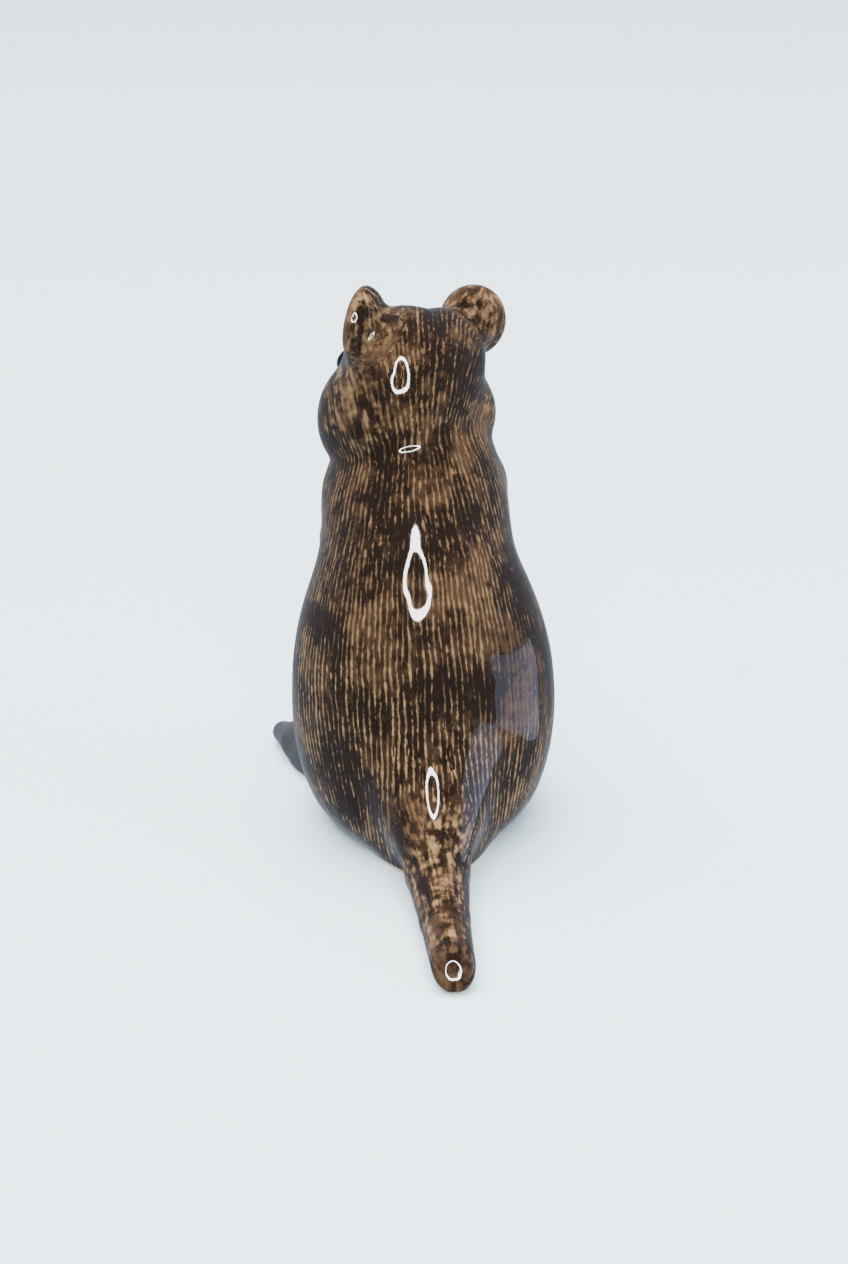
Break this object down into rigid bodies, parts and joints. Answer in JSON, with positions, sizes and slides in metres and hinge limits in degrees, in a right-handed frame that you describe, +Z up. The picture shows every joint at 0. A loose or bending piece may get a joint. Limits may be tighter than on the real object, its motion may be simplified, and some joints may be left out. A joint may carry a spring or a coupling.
{
  "type": "porcelain quokka figurine",
  "caption": "Small glazed porcelain figurine of a quokka sitting upright on its haunches, head turned to its left, paws held in front and tail laid out behind.",
  "frame": {"origin": "on the table, in the flat underside beneath the middle of the seat", "axes": "+Z up from the table, -Y the way the body faces, +Y along the tail, +X to the animal's left"},
  "size_m": [0.0352, 0.0678, 0.066],
  "materials": {
    "glazed_porcelain": "clear high-gloss glaze over hand-painted dark brown and golden tan fur lines, bare cream porcelain where it stands"
  },
  "bodies": {
    "root": {"quokka_figurine": "glazed_porcelain"}
  },
  "joints": []
}
